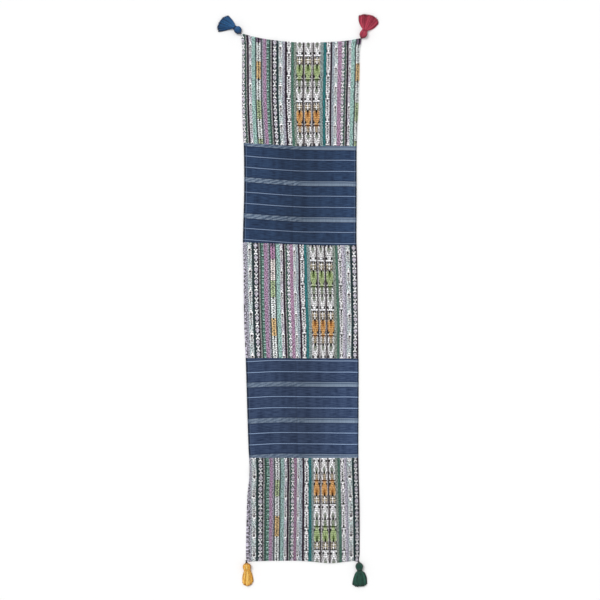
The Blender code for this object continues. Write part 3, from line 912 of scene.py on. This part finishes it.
def stitchTree():  # lines in, a row of small threads along each out
    nodes, (lines, pitch, length, radius, uneven, seed, thread) = startTree("stitchRow", {
        "Lines": "Geometry", "Pitch": "Float", "Thread length": "Float", "Thread radius": "Float",
        "Uneven": "Float", "Seed": "Int", "Thread": "Material"})
    tilt = stitching["askew"]
    curves = nodes.add("GeometryNodeMeshToCurve", {}, {0: lines})
    places = nodes.add("GeometryNodeCurveToPoints", {"mode": "LENGTH"}, {"Curve": curves, "Length": pitch})
    ball = nodes.add("GeometryNodeMeshUVSphere", {}, {"Segments": 6, "Rings": 4, "Radius": 1.0})
    varied = nodes.add("FunctionNodeRandomValue", {"data_type": "FLOAT"},
                       {2: 1.0 - uneven, 3: 1.0 + uneven, "Seed": seed}, 1)
    askew = nodes.add("FunctionNodeRandomValue", {"data_type": "FLOAT_VECTOR"},
                      {0: (-tilt, -tilt, 0.0), 1: (tilt, tilt, 0.0), "Seed": seed + 1}, 0)
    shade = nodes.add("FunctionNodeRandomValue", {"data_type": "FLOAT"},
                      {2: 0.0, 3: 1.0, "Seed": seed + 2}, 1)
    heading = nodes.add("ShaderNodeVectorMath", {"operation": "ADD"}, {0: places.output(1), 1: askew})
    turned = nodes.add("FunctionNodeAlignRotationToVector", {"axis": "X"}, {"Vector": heading})
    size = nodes.add("ShaderNodeCombineXYZ", {}, {0: length * varied * 0.5, 1: radius, 2: radius})
    threads = nodes.add("GeometryNodeInstanceOnPoints", {}, {
        "Points": places, "Instance": ball, "Rotation": turned, "Scale": size})
    threads = nodes.add("GeometryNodeStoreNamedAttribute", {"data_type": "FLOAT", "domain": "INSTANCE"}, {
        "Geometry": threads, "Name": "shade", "Value": shade})
    return finishTree(nodes, threads, thread)


def stitchLines(panel):  # both side hems, and at each end the hem or this panel's side of the seam
    width, length = panelSizes[panel.name]
    hem, seam = stitching["fromEdge"], stitching["fromSeam"]
    ends = [hem if isHem(line) else seam for line in (panel.above, panel.below)]
    left, right, top, bottom = hem / width, 1.0 - hem / width, ends[0] / length, 1.0 - ends[1] / length
    lines = []
    for ahead, aback in (((left, top), (left, bottom)), ((right, top), (right, bottom)),
                         ((left, top), (right, top)), ((left, bottom), (right, bottom))):
        path = []
        for k in range(121):
            across, down = (mix(ahead[i], aback[i], k / 120) for i in (0, 1))
            x, y, _, high = surfacePoint(panel, across, down)
            path.append(Vector((x, y, high + stitching["threadRadius"] * 0.25)))
        lines.append(path)
    return lines


def threadMaterial(name, slot):
    material, nodes, shader = startMaterial(name, 0.10, (1.0, 1.0, 1.0, 1.0))
    pale, deep = (dye(*shade) for shade in stitching["threads"][slot])
    shade = nodes.add("ShaderNodeAttribute", {"attribute_name": "shade"}, {}, 2)
    place = nodes.add("ShaderNodeTexCoord", {}, {}, 3)
    twist = noiseOf(nodes, scaled(nodes, place, 3200.0), 1.0, "3D")
    colour = blend(nodes, (shade * 0.7 + 0.15 + twist * 0.8).held(), deep, pale)
    finishMaterial(nodes, shader, colour, 0.84 + twist * 0.2, twist, 0.5, 0.0001)
    return material


def putInScene(name, mesh, replaced=None):  # a piece of the one body
    piece = bpy.data.objects.new(name, mesh)
    bpy.context.scene.collection.objects.link(piece)
    if replaced:
        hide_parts(replaced)
    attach(piece, "root")
    return piece


def makeStitches(panel, clothMesh, tree):
    lines = [(path, {}) for path in stitchLines(panel)]
    mesh = grow(panel.name + "_stitches", pathMesh(panel.name + "_lines", lines), tree, {
        "Pitch": stitching["pitch"], "Thread length": stitching["threadLength"],
        "Thread radius": stitching["threadRadius"], "Uneven": stitching["uneven"], "Seed": stitching["seed"],
        "Thread": threadMaterial(panel.name + "_thread", panel.slot)})
    flatMap(mesh, clothMesh)
    return putInScene(panel.name + "_stitches", mesh)


def sheetFaces(wide, tall):  # of a closed sheet, whose top points come first, row by row
    count = wide * tall
    faces = []
    for i in range(tall - 1):
        for j in range(wide - 1):
            a, b, c, d = i * wide + j, (i + 1) * wide + j, (i + 1) * wide + j + 1, i * wide + j + 1
            faces.append((a, b, c, d))
            faces.append((a + count, d + count, c + count, b + count))
        left, right = i * wide, i * wide + wide - 1
        faces.append((left, left + count, left + wide + count, left + wide))
        faces.append((right, right + wide, right + wide + count, right + count))
    for j in range(wide - 1):
        last = (tall - 1) * wide + j
        faces.append((j, j + 1, j + 1 + count, j + count))
        faces.append((last, last + count, last + 1 + count, last + 1))
    return faces


def makeCloth(panel, settings, isStriped):  # a panel's mesh, with the map of its weave
    above, below = runner[panel.above], runner[panel.below]
    width, length = panelSizes[panel.name]
    ends = [isHem(panel.above), isHem(panel.below)]
    columns = panelColumns(width, settings if isStriped else None)
    rows = [step / length for step in evenSteps(length, *ends)]
    inset = runner["seamGap"] / 2 / length
    tops, bottoms, weaves = [], [], []
    for row in rows:
        down = mix(0.0 if ends[0] else inset, 1.0 if ends[1] else 1.0 - inset, row)
        for across in columns:
            x, y, low, high = surfacePoint(panel, across, down)
            place = warpPlace(settings, across, down, width) if isStriped else across * width
            droop = mix(*(lineHeight(line, across) for line in settings["droop"]), down)
            tops.append((x, y, high))
            bottoms.append((x, y, low))
            weaves.append((place, above.middle + droop - y))
    mesh = bpy.data.meshes.new(panel.name + "_cloth")
    mesh.from_pydata(tops + bottoms, [], sheetFaces(len(columns), len(rows)))
    mesh.shade_smooth()
    weaveMap = mesh.uv_layers.new(name="weave")
    corners = [loop.vertex_index % len(tops) for loop in mesh.loops]
    weaveMap.data.foreach_set("uv", [value for corner in corners for value in weaves[corner]])
    flatMap(mesh, mesh)
    drops = [lineHeight(above, k / 8) - lineHeight(below, k / 8) for k in range(9)]
    return mesh, (width * runner["takeUp"], sum(drops) / 9 * runner["takeUp"])


def makePanel(panel, stitchRow):
    name, isStriped = panel.name, panel.name in stripedPanels
    settings = stripedPanels[name] if isStriped else indigoPanels[name]
    width, length = panelSizes[name]
    mesh, cut = makeCloth(panel, settings, isStriped)
    if isStriped:
        mesh.materials.append(stripedMaterial(name + "_weave", settings, length))
    else:
        mesh.materials.append(indigoMaterial(name + "_weave", settings, width))
    cloth = putInScene(name + "_cloth", mesh, name)
    stitches = makeStitches(panel, mesh, stitchRow)
    print("runner:", name, "faces", len(mesh.polygons), "and in its stitches", len(stitches.data.polygons))


# Yarn tassels: each strand is a path that geometry nodes turn into a two-ply yarn

# Headings are in degrees, from +X towards +Y
Flank = namedtuple("Flank", "heading ahead aside")  # of the skirt: where it ends, how it bulges
Tassel = namedtuple("Tassel", "name yarn corner heading headAside headHalf headFrom neck low high reach "
                              "tieShade knotDye")
# corner: the lines above and below it, and its shares across and down
# heading, headAside, headHalf: which way the head lies, how far it bows, and half its width
# headFrom: where it begins on its way; neck: its width there, as a share of the head's
# reach: how far out the tips lie, at five places from the low flank of the skirt to the high one
tassels = [
    Tassel("tassel_blue", "blue_yarn", ("topEdge", "seam1", 0.0, 0.0), 139.0, -0.0010, 0.0112, 0.02, 0.56,
           Flank(117.0, 0.30, 0.0196), Flank(197.0, 0.39, 0.0178), (0.0366, 0.0416, 0.0434, 0.0474, 0.0462),
           0.05, (14, 34, 58)),
    Tassel("tassel_red", "red_yarn", ("topEdge", "seam1", 1.0, 0.0), 66.6, -0.0010, 0.0112, 0.02, 0.74,
           Flank(24.0, 0.29, 0.0250), Flank(115.0, 0.29, 0.0262), (0.0430, 0.0470, 0.0442, 0.0438, 0.0446),
           0.20, (70, 20, 36)),
    Tassel("tassel_gold", "gold_yarn", ("seam4", "bottomEdge", 0.0, 1.0), 276.0, 0.0002, 0.0119, 0.12, 0.82,
           Flank(247.0, 0.43, 0.0160), Flank(300.0, 0.46, 0.0160), (0.0350, 0.0414, 0.0424, 0.0390, 0.0334),
           0.25, (50, 38, 28)),
    Tassel("tassel_green", "green_yarn", ("seam4", "bottomEdge", 1.0, 1.0), 275.0, 0.0002, 0.0112, 0.05, 0.66,
           Flank(241.5, 0.14, 0.0166), Flank(301.0, 0.14, 0.0214), (0.0430, 0.0456, 0.0438, 0.0446, 0.0420),
           0.05, (34, 44, 42)),
]
yarnColours = {  # pale, main and deep shade of each tassel's cotton
    "blue_yarn": ((46, 116, 174), (18, 80, 132), (8, 34, 62)),
    "red_yarn": ((220, 88, 112), (184, 52, 80), (110, 22, 44)),
    "gold_yarn": ((255, 234, 150), (255, 194, 76), (164, 104, 30)),
    "green_yarn": ((50, 116, 94), (24, 82, 67), (8, 40, 34)),
}
tasselForm = {
    # from the cloth to the neck's end: share of the way, share of the head's half width, half height, middle
    "head": [(0.00, 0.30, 0.0018, 0.0032), (0.05, 0.48, 0.0034, 0.0046), (0.12, 0.66, 0.0054, 0.0064),
             (0.24, 0.87, 0.0075, 0.0082), (0.42, 1.00, 0.0090, 0.0086), (0.60, 0.97, 0.0088, 0.0084),
             (0.78, 0.76, 0.0072, 0.0072), (0.88, 0.60, 0.0056, 0.0060), (0.92, 0.62, 0.0058, 0.0061),
             (1.00, 0.66, 0.0060, 0.0060)],
    "neckReach": 0.0268,
    "settled": 0.55,       # share of the skirt's way by which it has come down to the table
    "tipHeight": 0.0068,
    "tipCrown": 0.45,      # how much lower its flanks are than its middle
    "rimStrands": 42,
    "innerStrands": 100,
    "yarnRadius": 0.00085,
    "unevenness": 0.05,    # of the strands' lengths
    "wander": 0.0009,      # how far a strand strays from its way
    "headSteps": 16,
    "headEasing": 1.15,    # how much closer the steps are near the cloth
    "skirtSteps": 14,
    "fullGirth": 0.0085,   # how far from the head's middle a strand is as thick as elsewhere
    "leastGirth": 0.45,
    "neckGirth": 0.86,
    "evenFan": 0.85,       # how evenly the tips lie across the fan
    "shadeSpread": 0.42,   # how far strands differ
    "lockShade": 0.12,     # and how far locks of them do
    "locks": 8,            # radians of these across half the fan
    "rimFrom": 0.72,       # share of half the fan
    "paintedRimShade": 0.55,      # painted shade: how much darker the outermost strands are
    "paintedHeadRim": (0.5, 2.4),  # painted shade the same on the head: from which share of its half width, and how fast
    "paintedEndShade": 0.50,      # and painted shade on the strands' cut ends
    "coreHead": (0.13, 0.2, 0.3, 0.42, 0.55, 0.68, 0.8, 0.9, 1.0),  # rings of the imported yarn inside
    "coreSkirt": (0.12, 0.26, 0.42, 0.58, 0.72),
    "coreSides": 18,
    "tieTurns": 5,
    "tieReach": (0.82, 0.96),      # from and to which share of the way to the neck's end
    "tieRadius": 0.00062,
    "knotTurns": 3,
    "knotReach": (0.035, 0.115),
    "knotSize": (0.0024, 0.0022),  # half its width and its height
    "stubRadius": 0.0021,
    "plyTwist": 1050.0,    # radians of twist for each metre
    "plyDepth": 0.34,
    "step": 0.0016,
}


def headAt(tassel, start, share, a, b, inset):  # a runs across and b up, on a unit circle
    table = tasselForm["head"]
    shares = [row[0] for row in table]
    full = 0.42  # where the head is at its widest
    place = share if share > full else full * max(0.0, share - tassel.headFrom) / (full - tassel.headFrom)
    half, tall, middle = (smoothCurve(shares, [row[k] for row in table], place) for k in (1, 2, 3))
    half *= tassel.headHalf * mix(1.0, tassel.neck / table[-1][1], min(1.0, max(0.0, (share - 0.6) / 0.3)))
    keep = max(0.2, 1.0 - inset / max(half, 1e-5))
    forward, aside = direction(tassel.heading), direction(tassel.heading + 90)
    along = tasselForm["neckReach"] * share
    side = tassel.headAside * 4 * share * (1 - share) + a * half * keep
    high = max(inset, middle + b * max(0.0002, tall - inset))
    return Vector((start[0] + forward[0] * along + aside[0] * side,
                   start[1] + forward[1] * along + aside[1] * side, high))


def skirtAt(tassel, start, a, b, t, reachShare):  # from the neck, t = 0, to the tips, t = 1
    form = tasselForm
    root = form["head"][-1]
    low, high = tassel.low, tassel.high
    forward, rootSide = direction(tassel.heading), direction(tassel.heading + 90)
    middle = mix(low.heading, high.heading, 0.5)
    ahead, aside = direction(middle), direction(middle + 90)
    across = (a + 1) / 2
    reach = lineHeight(tassel.reach, across) * reachShare
    tip = direction(mix(low.heading, high.heading, across))
    roundA, roundB = a * math.sqrt(max(0.0, 1 - b ** 2 / 2)), b * math.sqrt(max(0.0, 1 - a ** 2 / 2))
    place = []
    for k in range(2):
        neck = start[k] + forward[k] * form["neckReach"]
        first = neck + rootSide[k] * tassel.neck * tassel.headHalf * roundA
        second = neck + ahead[k] * mix(low.ahead, high.ahead, across) * reach
        second += aside[k] * mix(low.aside, high.aside, across) * a
        third = neck + tip[k] * reach
        place.append((1 - t) ** 2 * first + 2 * t * (1 - t) * second + t ** 2 * third)
    settle = 1 - (1 - min(1.0, t / form["settled"])) ** 2
    tipLift = form["tipHeight"] * (1 - form["tipCrown"] * a ** 2) * (b + 1) / 2
    return Vector((*place, mix(root[3] + root[2] * roundB, tipLift, settle)))


def strandEnds(draw):  # where the strands leave the neck, on a unit circle: round its rim and inside it
    form = tasselForm
    ends = []
    for k in range(form["rimStrands"] + form["innerStrands"]):
        isRim = k < form["rimStrands"]
        turn = (k + draw.uniform(-0.2, 0.2)) / form["rimStrands"] if isRim else draw.uniform(0.0, 1.0)
        spread = 1.0 if isRim else math.sqrt(draw.uniform(0.0, 0.92))
        across, up = math.cos(2 * math.pi * turn), math.sin(2 * math.pi * turn)
        ends.append((across * spread, up * spread, isRim))
    return sorted(ends)


def strandPaths(tassel, start, draw):  # every strand, with its girth and shade at each point; the shade holds painted shade at the rim, by the knot and at the cut ends
    form = tasselForm
    radius, headSteps, skirtSteps = form["yarnRadius"], form["headSteps"], form["skirtSteps"]
    rimFrom, rimRate = form["paintedHeadRim"]
    ends = strandEnds(draw)
    wave = draw.uniform(0, 6.28)
    paths = []
    for rank, (a, b, isRim) in enumerate(ends):
        fanA = mix(a, (2 * rank + 1) / len(ends) - 1, form["evenFan"])
        tone = 0.5 + form["lockShade"] * math.sin(fanA * form["locks"] + wave)
        tone += draw.uniform(-form["shadeSpread"], form["shadeSpread"])
        # painted shade: the outermost strands darker
        tone -= form["paintedRimShade"] * max(0.0, abs(fanA) - form["rimFrom"]) / (1.0 - form["rimFrom"])
        points, girths, tones = [], [], []
        if isRim:  # over the head
            for j in range(headSteps + 1):
                share = mix(tassel.headFrom, 1.0, (j / headSteps) ** form["headEasing"])
                points.append(headAt(tassel, start, share, a, b, radius))
                wide = (points[-1] - headAt(tassel, start, share, 0, 0, 0)).length / form["fullGirth"]
                girths.append(max(form["leastGirth"], min(1.0, wide)))
                # painted shade on the head: darker at its rim, and most by the knot
                rim = max(0.0, abs(a) - rimFrom) * rimRate * (1.0 - j / headSteps) + max(0.0, 1.0 - j / 4)
                tones.append(tone + 0.05 - form["paintedRimShade"] * rim)
        reachShare = 1.0 + draw.uniform(-form["unevenness"], form["unevenness"] * 0.6)
        phase, sway = draw.uniform(0, 6.28), draw.uniform(0.4, 1.0) * form["wander"]
        for j in range(1 if isRim else 0, skirtSteps + 1):
            t = j / skirtSteps
            point = skirtAt(tassel, start, mix(a, fanA, t), b, t, reachShare)
            loose = sway * t
            point.x += loose * math.sin(phase + t * 5.0)
            point.y += loose * math.cos(phase * 1.7 + t * 4.2)
            point.z = max(radius, point.z - radius * 0.5 * t + 0.25 * loose * math.sin(phase + t * 9.0))
            points.append(point)
            girths.append(mix(form["neckGirth"], 1.0, min(1.0, t * 3)))
            # painted shade: darker at the strands' cut ends
            tones.append(tone - form["paintedEndShade"] * max(0.0, t - 0.90) / 0.10)
        paths.append((points, {"girth": girths, "shade": tones, "tie": [0.0] * len(points)}))
    return paths


def turnsOf(turns, steps):  # share of the way and angle at each step of some turns
    return [(j / (turns * steps), 2 * math.pi * j / steps) for j in range(turns * steps + 1)]


def tiePaths(tassel, start):  # the neck's winding, and the knot with its stub at the corner
    form = tasselForm
    winding, knot = [], []
    for part, angle in turnsOf(form["tieTurns"], 18):
        share = mix(*form["tieReach"], part)
        point = headAt(tassel, start, share, math.cos(angle), math.sin(angle), 0.0)
        point += (point - headAt(tassel, start, share, 0, 0, 0)).normalized() * form["tieRadius"] * 0.5
        point.z = max(form["tieRadius"], point.z)
        winding.append(point)
    sideways = direction(tassel.heading + 90)
    halfWidth, halfHeight = form["knotSize"]
    for part, angle in turnsOf(form["knotTurns"], 14):
        point = headAt(tassel, start, mix(*form["knotReach"], part), 0, 0, 0)
        point.x += sideways[0] * halfWidth * math.cos(angle)
        point.y += sideways[1] * halfWidth * math.cos(angle)
        point.z = max(form["tieRadius"], point.z + halfHeight * math.sin(angle))
        knot.append(point)
    first = -0.08 - tassel.headFrom * 0.9
    stub = [headAt(tassel, start, share, 0, 0, 0) for share in (first, first * 0.4, 0.04, 0.10, 0.20)]
    thin, thick = form["tieRadius"] / form["yarnRadius"], form["stubRadius"] / form["yarnRadius"]
    laid = ((winding, thin, tassel.tieShade, 0.0), (knot, thin, 0.4, 1.0), (stub, thick, 0.5, 1.0))
    return [(path, {"girth": [girth] * len(path), "shade": [shade] * len(path), "tie": [tie] * len(path)})
            for path, girth, shade, tie in laid]


def yarnTree():  # paths in, two-ply yarns out
    nodes, (paths, radius, step, twist, depth, yarn) = startTree("twoPlyYarn", {
        "Paths": "Geometry", "Yarn radius": "Float", "Step": "Float", "Twist": "Float",
        "Ply depth": "Float", "Yarn": "Material"})
    girth = nodes.add("GeometryNodeInputNamedAttribute", {"data_type": "FLOAT"}, {"Name": "girth"})
    curves = nodes.add("GeometryNodeMeshToCurve", {}, {0: paths})
    curves = nodes.add("GeometryNodeResampleCurve", {"mode": "LENGTH"}, {"Curve": curves, "Length": step})
    along = nodes.add("GeometryNodeSplineParameter").output(1)
    curves = nodes.add("GeometryNodeSetCurveTilt", {}, {"Curve": curves, "Tilt": along * twist})
    ring = nodes.add("GeometryNodeCurvePrimitiveCircle", {}, {"Resolution": 8, "Radius": radius})
    place = nodes.add("GeometryNodeInputPosition")
    split = nodes.add("ShaderNodeSeparateXYZ", {}, {0: place})
    turn = nodes.sum("ARCTAN2", split.output(1), split)
    lobed = 1.0 - depth * (0.5 - 0.5 * nodes.sum("COSINE", turn * 2.0))
    ring = nodes.add("GeometryNodeSetPosition", {}, {
        "Geometry": ring, "Position": scaled(nodes, place, lobed)})
    yarns = nodes.add("GeometryNodeCurveToMesh", {}, {
        "Curve": curves, "Profile Curve": ring, "Scale": girth, "Fill Caps": True})
    return finishTree(nodes, yarns, yarn)


def coreMesh(tassel, start):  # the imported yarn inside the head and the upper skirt
    form = tasselForm
    sides, inside = form["coreSides"], form["yarnRadius"] * 1.1
    around = [direction(360 * k / sides) for k in range(sides)]
    points = []
    for share in form["coreHead"]:
        points += [headAt(tassel, start, share, a, b, inside) for a, b in around]
    for t in form["coreSkirt"]:
        shrink = mix(0.80, 0.55, t)
        for a, b in around:
            point = skirtAt(tassel, start, a * shrink, b * shrink, t, 1.0)
            points.append(Vector((point.x, point.y, max(0.0006, point.z))))
    faces = [tuple(reversed(range(sides))), tuple(range(len(points) - sides, len(points)))]
    for first in range(0, len(points) - sides, sides):
        for k in range(sides):
            n = (k + 1) % sides
            faces.append((first + k, first + n, first + sides + n, first + sides + k))
    return points, faces


def yarnMaterial(name, tassel):
    material, nodes, shader = startMaterial(name, 0.18, (1.0, 0.95, 0.9, 1.0))
    pale, main, deep = (dye(*shade) for shade in yarnColours[tassel.yarn])
    shade = nodes.add("ShaderNodeAttribute", {"attribute_name": "shade"}, {}, 2)
    tie = nodes.add("ShaderNodeAttribute", {"attribute_name": "tie"}, {}, 2)
    place = nodes.add("ShaderNodeTexCoord", {}, {}, 3)
    fibres = noiseOf(nodes, scaled(nodes, place, 2600.0), 2.0, "3D")
    tufts = noiseOf(nodes, scaled(nodes, place, 260.0), 1.0, "3D")
    light = shade * 0.85 + 0.08 + fibres * 0.7 + tufts * 0.5
    colour = rampOf(nodes, light, [(0.0, deep), (0.45, main), (1.0, pale)], "LINEAR")
    colour = blend(nodes, tie, colour, dye(*tassel.knotDye))
    colour = scaled(nodes, colour, 1.0 + fibres * 0.3)
    finishMaterial(nodes, shader, colour, 0.84 + fibres * 0.2, fibres, 0.5, 0.00015)
    return material


def makeTassel(tassel, tree, seed):
    draw = random.Random(seed)
    above, below = runner[tassel.corner[0]], runner[tassel.corner[1]]
    start = clothPoint(above, below, tassel.corner[2], tassel.corner[3])
    material = yarnMaterial(tassel.name + "_cotton", tassel)
    paths = pathMesh(tassel.name + "_paths", strandPaths(tassel, start, draw) + tiePaths(tassel, start))
    mesh = grow(tassel.name + "_yarn", paths, tree, {
        "Yarn radius": tasselForm["yarnRadius"], "Step": tasselForm["step"], "Twist": tasselForm["plyTwist"],
        "Ply depth": tasselForm["plyDepth"], "Yarn": material})

    # the core joins the strands' mesh, at the yarn's deepest shade: painted shade inside the tassel, between
    # its strands
    joined = bmesh.new()
    joined.from_mesh(mesh)
    shade = joined.verts.layers.float.get("shade")
    points, faces = coreMesh(tassel, start)
    corners = [joined.verts.new(point) for point in points]
    # painted shade: the core takes the deepest shade of the yarn
    for corner in corners:
        corner[shade] = 0.0
    core = [joined.faces.new([corners[k] for k in face]) for face in faces]
    bmesh.ops.recalc_face_normals(joined, faces=core)
    joined.to_mesh(mesh)
    joined.free()
    mesh.shade_smooth()

    putInScene(tassel.name + "_yarn", mesh, tassel.name)
    print("runner:", tassel.name, "triangles", sum(len(face.vertices) - 2 for face in mesh.polygons))


# Floor, light and camera

studio = {
    "floorTone": (0.955, 0.955, 0.955, 1.0),
    "floorRoughness": 0.9,
    "floorHalf": 6.0,
    "floorHeight": -0.0004,
    "worldStrength": 0.66,
    "keyFrom": (-1.0, 0.95, 2.1),
    "keySpread": 26.0,        # degrees of sky that the soft key light fills
    "keyStrength": 1.49,
    "lens": 110.0,
    "framed": 1.734,          # metres that the picture takes in
    "middle": (-0.0026, 0.0058),
}


def makeStudio():
    mesh = bpy.data.meshes.new("floor")
    half, z = studio["floorHalf"], studio["floorHeight"]
    corners = [(-half, -half, z), (half, -half, z), (half, half, z), (-half, half, z)]
    mesh.from_pydata(corners, [], [(0, 1, 2, 3)])
    floor = bpy.data.objects.new("floor", mesh)
    bpy.context.scene.collection.objects.link(floor)
    material, _, shader = startMaterial("floorPaint", 0.0, (1.0, 1.0, 1.0, 1.0))
    shader["Roughness"].default_value = studio["floorRoughness"]
    shader["Base Color"].default_value = studio["floorTone"]
    mesh.materials.append(material)

    world = bpy.data.worlds.new("studio")
    bpy.context.scene.world = world
    world.use_nodes = True
    world.node_tree.nodes["Background"].inputs["Color"].default_value = (1.0, 1.0, 1.0, 1.0)
    world.node_tree.nodes["Background"].inputs["Strength"].default_value = studio["worldStrength"]

    lamp = bpy.data.lights.new("key", "SUN")
    lamp.angle = math.radians(studio["keySpread"])
    lamp.energy = studio["keyStrength"]
    key = bpy.data.objects.new("key", lamp)
    key.rotation_euler = (-Vector(studio["keyFrom"])).to_track_quat("-Z", "Y").to_euler()
    bpy.context.scene.collection.objects.link(key)

    lens = bpy.data.cameras.new("camera")
    lens.lens = studio["lens"]
    lens.clip_end = 100.0
    camera = bpy.data.objects.new("camera", lens)
    camera.location = (*studio["middle"], studio["framed"] * lens.lens / lens.sensor_width)
    bpy.context.scene.collection.objects.link(camera)
    bpy.context.scene.camera = camera
    bpy.context.scene.view_settings.view_transform = "Standard"


makeStudio()
print("runner: floor, light and camera")
stitchRow = stitchTree()
for panel in panels:
    makePanel(panel, stitchRow)
yarns = yarnTree()
for number, tassel in enumerate(tassels):
    makeTassel(tassel, yarns, 40 + number)
